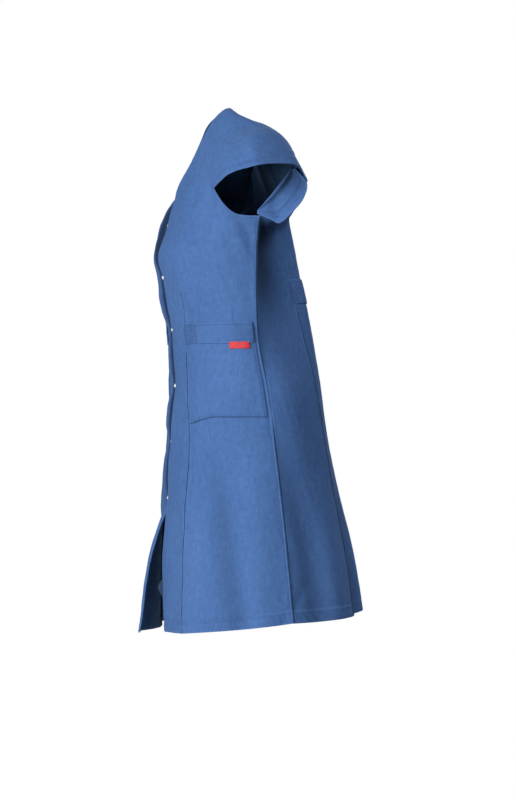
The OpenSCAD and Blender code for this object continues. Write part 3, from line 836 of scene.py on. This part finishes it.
for sleeve_side in (1, -1):
    sleeve_cloth(sleeve_side)

# the back half of the left armhole is faced, and its edge droops outwards in a lip below the seam
LIP_OUT = [(0, 219, 25, -226), (0.2, 231, 50, -238), (0.36, 237, 68, -246), (0.55, 243, 96, -220),
           (0.72, 243, 117, -193), (0.88, 237, 124, -162), (1, 220, 104, -134)]
LIP_IN = [(0, 214, 27, -219), (0.25, 210, 52, -193), (0.5, 207, 70, -172), (0.75, 205, 86, -153),
          (1, 205, 101, -133)]
across, along = np.meshgrid(np.linspace(0, 1, 15), np.linspace(0, 1, 41))
lip = (1 - across[..., None]) * through(LIP_IN, along) + across[..., None] * through(LIP_OUT, along)
lip[..., 0] -= 5 * np.sin(math.pi * across) * np.sin(math.pi * np.clip(along, 0.05, 0.95))
lip = lip + waves(lip, 91, 26)[..., None] * np.array([0.9, -0.5, 0.3]) * bump(along, 0.08, 0.16)[..., None]
# painted highlights along the lip's edges and painted shade inside it, darker towards its back end
lip_painted_light = 1.6 * bump(across, 0, 0.05) + 0.9 * bump(across, 1, 0.06) - 0.6 * bump(across, 0.66,
        0.03) + 0.8 * bump(along, 0, 0.06)
lip_painted_light = lip_painted_light - 1.3 * bump(across, 0.14, 0.09) - 1.0 * ease(0.4, 0.95, along) * (1 - 0.5 * across)
obj = cloth("left_underarm_facing", lip, "twill", 1.2, lip_painted_light, flip=True)
obj.data.materials[1] = MATERIALS["twill"]
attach(obj, "coat")
SHEETS.append((obj, *size_of(lip), "hung", ()))

# ---------------------------------------------------------------- half belt
belt_a = BACK_SEAM_A + spread(140, (1, 0), 6) * 42
belt_z = BELT_TOP_Z - spread(BELT_W, (1, 1), 6) * BELT_W


def on_body(a, z, d, side=1):
    """A point d mm outside the hanging body cloth."""
    v = v_of(a, z)
    base = body(a, v)
    p = base + body_normal(a, v) * (hang(base, a, v, side) + d)[..., None]
    return mirror(p) if side < 0 else p


def belt_half(side):
    z, a = np.meshgrid(belt_z, belt_a, indexing="ij")
    across = arc(body(a, v_of(a, z)), 1)
    to_edge = np.minimum(BELT_TOP_Z - z, z - BELT_TOP_Z + BELT_W)
    h, w = relief(to_edge, "edge", body(a, v_of(a, z)))
    d = 1.8 + 0.4 * ease(0, 9, to_edge) + 0.6 * ease(0, 60, across) + h
    return on_body(a, z, d, side), w


(bl, wl), (br, wr) = belt_half(1), belt_half(-1)
belt_grid = np.concatenate([bl, br[:, -2::-1]], axis=1)
belt = cloth("half_belt_cloth", belt_grid, "twill", 1.6, np.concatenate([wl, wr[:, -2::-1]], axis=1))
sew(belt, belt_grid, ("half_belt",), "coat", rests=("back_panel",))
panel_rows("coat", belt_grid, False, (("top", 5.2), ("bottom", 5.2), ("left", 3), ("right", 3)))


# ---------------------------------------------------------------- pockets, flaps, tag
def bag(a, z):
    k = (a - POCKET_A0) / (POCKET_A1 - POCKET_A0)
    full = np.maximum(0, np.sin(math.pi * k)) ** 0.6
    low = pocket_low(a)
    return 1.5 + full * (0.9 + 1.6 * ease(0, 70, POCKET_TOP_Z - z) * ease(low, low + 40, z))


def pocket_low(a):
    return -655 + 15 * ease(17, 48, a)


def pocket(side):
    name = "left" if side > 0 else "right"
    k = spread(235, (1, 1), 5)
    v = spread(186, (1, 1), 5.5)
    v, k = np.meshgrid(v, k, indexing="ij")
    a = POCKET_A0 + (POCKET_A1 - POCKET_A0) * k
    z = POCKET_TOP_Z + (pocket_low(a) - POCKET_TOP_Z) * v
    base = body(a, v_of(a, z))
    across, down = arc(base, 1), arc(base, 0)
    d = bag(a, z)
    wear_and_painted_light = 0
    for dist, kind in ((across, "edge"), (across[:, -1:] - across, "edge"), (down, "edge"),
                       (down[-1:] - down, "edge")):
        h, w = relief(dist, kind, base)
        d, wear_and_painted_light = d + 0.7 * h, wear_and_painted_light + w
    d = d + 0.7 * waves(base, 91 + side, 70) * ease(0, 20, across) * ease(0, 20, across[:, -1:] - across)
    # painted shadow along the pocket's bottom edge
    wear_and_painted_light = wear_and_painted_light - 1.6 * bump(down[-1:] - down, 0, 1.6)
    grid = on_body(a, z, d, side)
    obj = cloth(name + "_pocket_cloth", grid, "twill", 1.0, wear_and_painted_light, flip=side < 0)
    sew(obj, grid, (name + "_pocket",), "coat", rests=(name + "_side_front_panel",))
    panel_rows("coat", grid, side < 0, (("left", 2.4), ("left", 7.2), ("right", 2.4), ("top", 5.2),
                                        ("top", 9), ("bottom", 5.2), ("bottom", 10)))


def flap_out(a, z):
    return 1.3 + (bag(a, np.full(np.shape(a), float(POCKET_TOP_Z))) + 0.6) * ease(FLAP_TOP_Z,
            FLAP_TOP_Z - 16, z)


def flap(side):
    name = "left" if side > 0 else "right"
    k = spread(232, (1, 1), 5)
    v = spread(FLAP_TOP_Z - FLAP_BOTTOM_Z, (1, 1), 5)
    v, k = np.meshgrid(v, k, indexing="ij")
    a = POCKET_A0 + (POCKET_A1 - 1.2 - POCKET_A0) * k
    z = FLAP_TOP_Z + (FLAP_BOTTOM_Z - FLAP_TOP_Z) * v
    base = body(a, v_of(a, z))
    across, down = arc(base, 1), arc(base, 0)
    d = flap_out(a, z) + 1.2
    wear_and_painted_light = 0
    for dist, kind in ((across, "edge"), (across[:, -1:] - across, "edge"), (down, "edge"),
                       (down[-1:] - down, "edge")):
        h, w = relief(dist, kind, base)
        d, wear_and_painted_light = d + h, wear_and_painted_light + w
    # the box-stitched ends are darker, and a painted shadow runs down the flap's end by the side seam
    block = ease(54, 51, across) + 0.45 * ease(44, 41, across[:, -1:] - across)
    wear_and_painted_light = wear_and_painted_light - 0.42 * block - 1.5 * bump(across[:, -1:] - across, 0, 2.2)
    grid = on_body(a, z, d, side)
    obj = cloth(name + "_flap_cloth", grid, "twill", 1.4, wear_and_painted_light, flip=side < 0)
    sew(obj, grid, (name + "_pocket_flap",), None)
    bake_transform(obj)
    group = name + "_flap"
    flip = side < 0
    panel_rows(group, grid, flip, (("bottom", 5.2), ("left", 3), ("right", 3), ("top", 3)))
    first = np.searchsorted(across[4], 46)
    box = grid[:, :first]
    panel_rows(group, box, flip, tuple(("top", s) for s in (7, 12, 17, 22, 27, 32, 37)) + (("right", 1),))
    last = grid.shape[1] - np.searchsorted((across[:, -1:] - across)[4, ::-1], 40)
    panel_rows(group, grid[:, last:], flip, (("left", 1), ("left", 12), ("top", 12), ("top", 32)))
    # hook pads under the flap and loop pads on the pocket, with a fuzzy surface
    for nodes, body_name, rows_z, outer in ((name + "_flap_hook_pads", None, (-472, -484), lambda a,
                                             z: flap_out(a, z) - 0.1),
                                            (name + "_pocket_loop_pads", "coat", (-472, -484), lambda a,
                                             z: bag(a, z) + 0.9)):
        grids = []
        for c in (34, 70):
            zz, aa = np.meshgrid(np.linspace(*rows_z, 9), c + np.linspace(-4.5, 4.5, 18), indexing="ij")
            grids.append(on_body(aa, zz, outer(aa, zz) + 0.12 * np.sin(aa * 9) * np.sin(zz * 2.2), side))
        made = [cloth(f"{nodes}_{i}", g, "hook_loop", 0.6, flip=flip) for i, g in enumerate(grids)]
        for o, g in zip(made, grids):
            sew(o, g, (nodes,), body_name)
            if body_name is None:
                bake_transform(o)


for side in (1, -1):
    pocket(side)
    flap(side)

tag_v, tag_a = np.meshgrid(np.linspace(0, 1, 14), np.linspace(64.5, 82.5, 34), indexing="ij")
tag_z = FLAP_BOTTOM_Z + 2.5 - 14 * tag_v
tag_edge = np.minimum(np.minimum(tag_a - 64.5, 82.5 - tag_a) * 2.4, 14 * (1 - tag_v))
tag_grid = on_body(tag_a, tag_z, bag(tag_a, tag_z) + 3.4 + 0.5 * ease(0, 2, tag_edge) + 0.5
                   * np.sin(tag_a * 0.5) - 1.2 * tag_v)
tag = cloth("pocket_tag_cloth", tag_grid, "tag", 0.9,
            0.5 * bump(tag_edge, 0, 0.8) - 0.35 * bump(tag_edge, 2.2, 0.5))
sew(tag, tag_grid, ("pocket_tag",), "coat", rests=("left_pocket",))


# ---------------------------------------------------------------- press studs
def lathe(profile, origin, axis, count=32):
    """Points and faces of a turned piece: profile rows of (radius, height) along axis from origin."""
    axis = unit(np.asarray(axis, float))
    u = unit(np.cross(axis, (0, 0, 1.0)))
    w = np.cross(axis, u)
    turn_at = np.arange(count) * 2 * math.pi / count
    ring = np.cos(turn_at)[:, None] * u + np.sin(turn_at)[:, None] * w
    verts = np.concatenate([origin + axis * h + ring * max(r, 0.01) for r, h in profile])
    faces = []
    for i in range(len(profile) - 1):
        for j in range(count):
            p, q = i * count + j, i * count + (j + 1) % count
            faces.append((p, q, q + count, p + count))
    faces.append(tuple(range(count))[::-1])
    faces.append(tuple(range((len(profile) - 1) * count, len(profile) * count)))
    return verts, faces


def studs(name, node, body_name, profiles):
    verts, faces = [], []
    stud_a = np.array(-math.degrees(math.asin(STUD_X / 213)))
    for z in STUD_Z:
        v = v_of(stud_a, np.array(float(z)))
        origin, axis = body(stud_a, v), body_normal(stud_a, v)
        for profile in profiles:
            p, f = lathe(profile, origin, axis)
            faces += [tuple(i + sum(map(len, verts)) for i in face) for face in f]
            verts.append(p)
    verts = np.concatenate(verts)
    obj = add_mesh(name, verts, faces, verts[:, [0, 2]], None, "stud_steel")
    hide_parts(node)
    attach(obj, body_name)
    return obj


CAP = [(0.0, 2.9), (1.6, 2.75), (3.0, 2.2), (4.0, 1.4), (4.6, 0.6), (4.7, 0.0), (4.1, -0.3), (0.0, -0.35)]
SOCKET = [(6.4, -2.9), (6.5, -3.4), (6.1, -4.2), (5.3, -4.45), (4.6, -4.1), (3.9, -4.35), (3.2, -4.2),
          (3.1, -3.0), (3.1, -2.8), (6.2, -2.8)]
POST = [(0.0, -4.0), (1.3, -4.05), (1.9, -4.5), (2.0, -5.0), (1.7, -5.6), (1.8, -6.2), (3.0, -6.6),
        (5.6, -6.75), (7.2, -6.9), (7.4, -7.2), (7.2, -7.5), (0.0, -7.55)]
RING_BACK = [(0.0, -10.7), (3.0, -10.7), (5.4, -10.8), (5.9, -11.1), (5.6, -11.5), (4.4, -11.7),
             (3.2, -11.4), (0.0, -11.3)]
studs("press_stud_socket_parts", "press_stud_sockets", "left_front", (CAP[::-1], SOCKET[::-1]))
studs("press_stud_post_parts", "press_stud_posts", "coat", (POST[::-1],))
studs("press_stud_back_parts", "press_stud_backs", "coat", (RING_BACK[::-1],))

# ---------------------------------------------------------------- hanger loop and care label
LOOP_R, LOOP_Y, LOOP_Z = 24, 40, -56
turn_a, wide = np.meshgrid(np.linspace(0, math.pi, 60), np.linspace(-3, 3, 9), indexing="ij")
loop_r = LOOP_R + wide
loop_grid = np.stack([loop_r * np.cos(turn_a), LOOP_Y - 0.5 + 0.25 * np.sin(wide * 1.4) * np.sin(turn_a),
                      LOOP_Z - loop_r * np.sin(turn_a)], -1)
loop = cloth("hanger_loop_tape", loop_grid, "tape", 1.0, 0.5 * bump(np.abs(wide), 3, 0.6))
sew(loop, loop_grid, ("hanger_loop",), "hanger", held="hung", rests=("hanger_loop_tacks",))
for i, x in enumerate((-LOOP_R, LOOP_R)):
    tv, th = np.meshgrid(np.linspace(-57, -50, 10), np.linspace(-3.5, 3.5, 8), indexing="ij")
    tack_grid = np.stack([x + th, 41.6 + 0.2 * np.sin(tv * 2), tv[::-1]], -1)
    tack = cloth(f"hanger_loop_tack_{i}", tack_grid, "tape", 2.0, flip=True)
    sew(tack, tack_grid, ("hanger_loop_tacks",), "coat")
    for k in range(5):
        row = np.stack([np.linspace(x - 3.2, x + 3.2, 12), np.full(12, 41.4), np.full(12, -51.5 - k * 1.1)],
                       -1)
        stitch("coat", row, np.tile((0, -1.0, 0), (12, 1)), pitch=1.6, length=1.5)

label_v, label_u = np.meshgrid(np.linspace(-58, -92, 20), np.linspace(-15, 15, 16), indexing="ij")
label_grid = np.stack([label_u, 46.9 + 0.3 * np.sin(label_u * 0.3) * ease(-60, -90, label_v), label_v], -1)
label_edge = np.minimum(15 - np.abs(label_u), label_v + 92)
label = cloth("care_label_cloth", label_grid, "label", 0.5, -0.25 * bump(label_edge, 2.5, 0.5))
sew(label, label_grid, ("care_label",), "coat", rests=("back_neck_facing",))

# ---------------------------------------------------------------- stitching meshes
for group, obj in make_stitches().items():
    if group == "coat":
        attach(obj, "coat")
    elif group == "left_front":
        turn(obj)
    else:
        side = 1 if group.startswith("left") else -1
        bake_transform(obj)

# ---------------------------------------------------------------- the list of sheets, gone through without effect
NARROWEST_SHEET = 0.0105    # metres; the loop below skips sheets narrower than this and does nothing with the rest

for obj, w, l, area, held, rests in SHEETS:
    if min(w, l) < NARROWEST_SHEET:
        continue

# ---------------------------------------------------------------- camera, light, floor
VIEW_AZ = math.radians(74)
TOWARDS_CAMERA = np.array([math.sin(VIEW_AZ), -math.cos(VIEW_AZ), 0])
ACROSS = np.array([math.cos(VIEW_AZ), math.sin(VIEW_AZ), 0])
TARGET = 0.086 * ACROSS + np.array([0, 0, -0.605])
DISTANCE, VIEW_HEIGHT = 6.0, 1.68
camera_data = bpy.data.cameras.new("camera")
camera = bpy.data.objects.new("camera", camera_data)
bpy.context.scene.collection.objects.link(camera)
camera.location = TARGET + TOWARDS_CAMERA * DISTANCE
camera.rotation_euler = (math.pi / 2, 0, VIEW_AZ)
camera_data.lens = 36 * DISTANCE / VIEW_HEIGHT
camera_data.sensor_width = 36
bpy.context.scene.camera = camera


def area_light(name, azimuth, elevation, distance, size, power, colour=(1, 1, 1)):
    az, el = math.radians(azimuth), math.radians(elevation)
    data = bpy.data.lights.new(name, "AREA")
    data.size, data.energy, data.color = size, power, colour
    light = bpy.data.objects.new(name, data)
    bpy.context.scene.collection.objects.link(light)
    light.location = TARGET + distance * np.array([math.sin(az) * math.cos(el),
                                                   -math.cos(az) * math.cos(el), math.sin(el)])
    light.rotation_euler = (math.pi / 2 - el, 0, az)
    return light


area_light("key", 35, 9, 3.1, 2.2, 126)
area_light("fill", 146, 50, 5.0, 1.8, 105, (0.90, 0.95, 1.0))
area_light("rim", 235, 25, 5.0, 2.4, 70, (0.92, 0.96, 1.0))

world = bpy.data.worlds.new("studio")
bpy.context.scene.world = world
make, link = node_tools(world)
seen = make("ShaderNodeLightPath")
white = make("ShaderNodeBackground", Color=(1, 1, 1, 1), Strength=1.0)
dim = make("ShaderNodeBackground", Color=(0.84, 0.93, 1, 1), Strength=0.13)
choose, out = make("ShaderNodeMixShader"), make("ShaderNodeOutputWorld")
link(seen.outputs["Is Camera Ray"], choose.inputs["Fac"])
link(dim.outputs["Background"], choose.inputs[1])
link(white.outputs["Background"], choose.inputs[2])
link(choose.outputs["Shader"], out.inputs["Surface"])

FLOOR_Z, FLOOR_R = -1.5, 1.5
floor_mat = bpy.data.materials.new("floor")
make, link = node_tools(floor_mat)
place = make("ShaderNodeTexCoord")
length = make("ShaderNodeVectorMath", operation="LENGTH")
link(place.outputs["Object"], length.inputs[0])
fade = make("ShaderNodeMapRange", interpolation_type="SMOOTHSTEP", From_Min=0.15, From_Max=FLOOR_R * 0.62)
link(length.outputs["Value"], fade.inputs["Value"])
paint = make("ShaderNodeBsdfPrincipled", Base_Color=(0.93, 0.93, 0.93, 1), Roughness=0.9,
             Emission_Color=(1, 1, 1, 1), Emission_Strength=0.45)
clear, choose = make("ShaderNodeBsdfTransparent"), make("ShaderNodeMixShader")
out = make("ShaderNodeOutputMaterial")
link(fade.outputs["Result"], choose.inputs["Fac"])
link(paint.outputs["BSDF"], choose.inputs[1])
link(clear.outputs["BSDF"], choose.inputs[2])
link(choose.outputs["Shader"], out.inputs["Surface"])
rings, spokes = 12, 64
floor_verts = [(0, 0, 0)] + [(FLOOR_R * i / rings * math.cos(2 * math.pi * j / spokes),
                             FLOOR_R * i / rings * math.sin(2 * math.pi * j / spokes), 0)
                            for i in range(1, rings + 1) for j in range(spokes)]
floor_faces = [(0, 1 + j, 1 + (j + 1) % spokes) for j in range(spokes)]
for i in range(rings - 1):
    for j in range(spokes):
        p, q = 1 + i * spokes + j, 1 + i * spokes + (j + 1) % spokes
        floor_faces.append((p, p + spokes, q + spokes, q))
floor = add_mesh("floor", np.array(floor_verts) / MM, floor_faces)
floor.data.materials.append(floor_mat)
floor.location = (0, 0.08, FLOOR_Z)

bpy.context.scene.view_settings.view_transform = "Standard"
